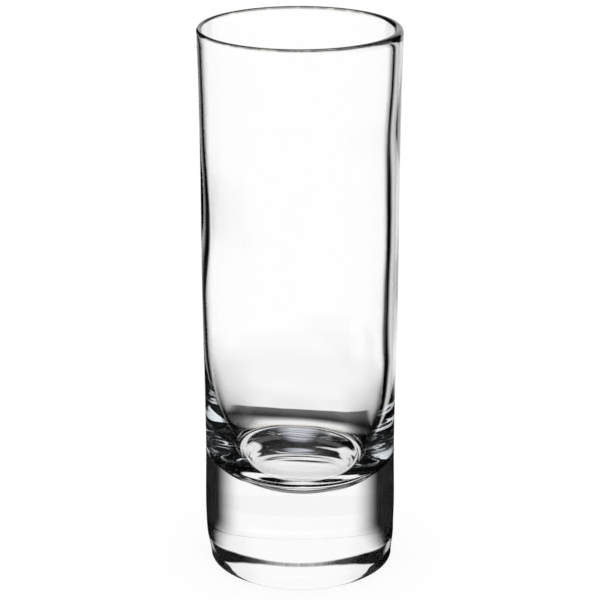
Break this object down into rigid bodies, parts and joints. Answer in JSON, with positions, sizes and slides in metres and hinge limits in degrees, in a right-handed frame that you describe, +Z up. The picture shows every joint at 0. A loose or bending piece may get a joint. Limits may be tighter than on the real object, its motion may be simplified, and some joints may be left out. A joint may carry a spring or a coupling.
{
  "type": "liqueur glass",
  "caption": "Tall slim straight-sided liqueur glass of clear glass, with a thin rounded lip, a dished bore floor and a heavy solid base that stands on a flat ring.",
  "frame": {"origin": "centre of the foot, on the table that the glass stands on", "axes": "+Z up along the axis of the glass, towards the lip; the glass is the same all round, so X and Y are free"},
  "size_m": [0.038, 0.038, 0.1055],
  "materials": {
    "clear_glass": "polished"
  },
  "bodies": {
    "root": {"glass_body": "clear_glass"}
  },
  "joints": []
}
